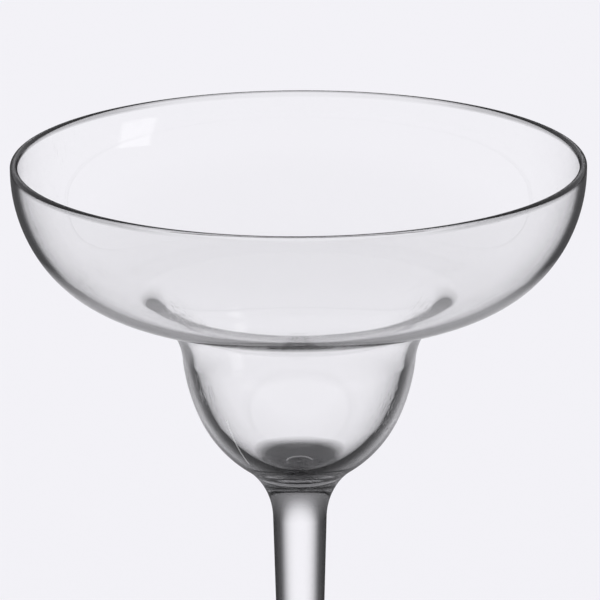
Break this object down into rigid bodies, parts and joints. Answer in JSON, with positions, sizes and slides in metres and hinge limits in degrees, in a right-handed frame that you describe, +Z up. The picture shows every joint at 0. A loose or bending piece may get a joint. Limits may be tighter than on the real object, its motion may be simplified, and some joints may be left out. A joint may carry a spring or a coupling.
{
  "type": "margarita glass",
  "caption": "Clear moulded plastic margarita glass: wide upper bowl stepping down to a small cup, solid tapered stem and round foot.",
  "frame": {"origin": "centre of the plane that the foot's resting ring stands on", "axes": "+Z up along the axis that every piece is turned about; X and Y are alike"},
  "size_m": [0.12, 0.12, 0.175],
  "materials": {
    "clear_bowl": "clear, polished",
    "clear_stem": "clear, polished",
    "clear_foot": "clear, polished"
  },
  "bodies": {
    "root": {"bowl": "clear_bowl", "stem": "clear_stem", "foot": "clear_foot"}
  },
  "joints": []
}
